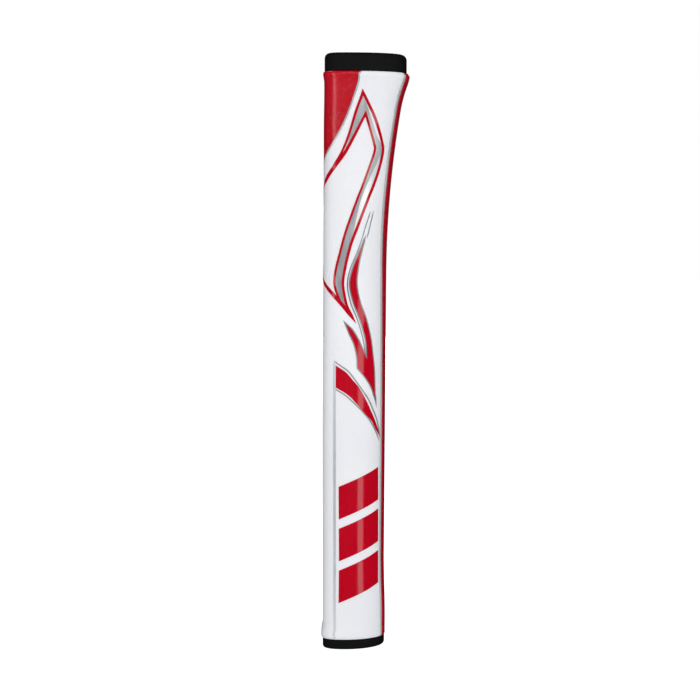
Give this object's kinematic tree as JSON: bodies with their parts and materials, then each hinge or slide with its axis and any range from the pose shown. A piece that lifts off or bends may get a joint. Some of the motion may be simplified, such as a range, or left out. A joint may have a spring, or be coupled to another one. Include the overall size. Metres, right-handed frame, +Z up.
{
  "type": "putter grip",
  "caption": "Pistol-style putter grip with a flat thumb face, a rounded back flaring at the butt, rubber end caps, a blind tapered shaft bore and a screw plug in the butt.",
  "frame": {"origin": "on the bore axis, in the plane of the mouth cap's end face", "axes": "+Z up along the bore, towards the butt; -Y out of the flat thumb face; +X completes a right-handed frame"},
  "size_m": [0.0324, 0.04, 0.2667],
  "materials": {
    "foam": "matt closed-cell EVA foam",
    "white_skin": "matt white polyurethane with a fine embossed pattern",
    "red_skin": "red polyurethane with fine pits",
    "red_film": "smooth gloss red film",
    "silver_film": "satin metallic silver film",
    "black_rubber": "matt black rubber",
    "brass": "turned brass",
    "black_plastic": "satin black nylon"
  },
  "bodies": {
    "grip": {"foam_core": "foam", "side_wrap": "white_skin", "back_strip": "red_skin", "edge_strip_right": "silver_film", "edge_strip_left": "silver_film", "mouth_cap": "black_rubber", "butt_cap": "black_rubber", "port_sleeve": "brass"},
    "washer": {"plug_washer": "black_rubber"},
    "plug": {"port_plug": "black_plastic"}
  },
  "joints": [
    {"name": "plug_travel", "type": "slide", "parent": "grip", "child": "washer", "axis": [0, 0, 1], "range_m": [0, 0.009]},
    {"name": "plug_turn", "type": "hinge", "parent": "washer", "child": "plug", "pos_m": [0, 0, 0.2664], "axis": [0, 0, 1], "range_deg": [0, 1620]}
  ],
  "couplings": [
    {"joint": "plug_turn", "follows": "plug_travel", "rad_per_m": 3141.6}
  ]
}
